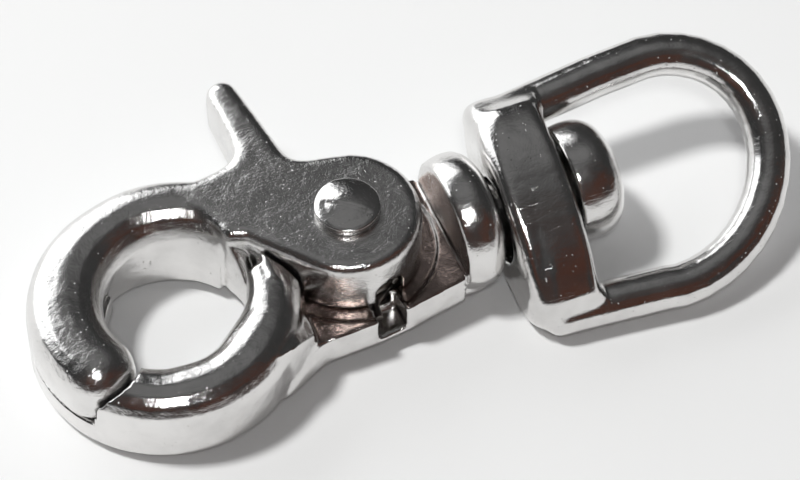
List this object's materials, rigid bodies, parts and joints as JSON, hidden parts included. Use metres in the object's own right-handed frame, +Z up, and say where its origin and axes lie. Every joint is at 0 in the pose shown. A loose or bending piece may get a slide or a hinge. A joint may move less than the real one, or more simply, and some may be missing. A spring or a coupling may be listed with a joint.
{
  "type": "swivel snap hook",
  "caption": "Cast swivel trigger snap hook: a sprung trigger closes the round loop, and a D-shaped eye turns on the body's stem.",
  "frame": {"origin": "middle of the bounding box, on the plane the hook lies on", "axes": "+X from the loop to the eye, +Y towards the thumb lever, +Z up from the table"},
  "size_m": [0.0713, 0.0327, 0.0131],
  "materials": {
    "body": "bright nickel plate over a zinc casting, polished",
    "trigger": "bright nickel plate over a zinc casting, scuffed and finely pitted on the jaw",
    "rivet": "bright plate, peened head",
    "spring": "plain spring wire",
    "eye": "bright nickel plate over a zinc casting"
  },
  "bodies": {
    "hook": {"body": "body", "rivet": "rivet", "spring": "spring"},
    "trigger": {"trigger": "trigger"},
    "eye": {"eye": "eye"}
  },
  "joints": [
    {"name": "trigger_hinge", "type": "hinge", "parent": "hook", "child": "trigger", "pos_m": [-0.00585, -0.0016, 0.00567], "axis": [0.0612, 0, -0.9981], "range_deg": [0, 26], "stiffness_Nm_per_rad": 0.08, "springref_deg": -25.78, "deforming": ["spring"]},
    {"name": "eye_swivel", "type": "hinge", "parent": "hook", "child": "eye", "pos_m": [0.01012, -0.0033, 0.00665], "axis": [0.9981, 0, 0.0612], "continuous": true}
  ]
}
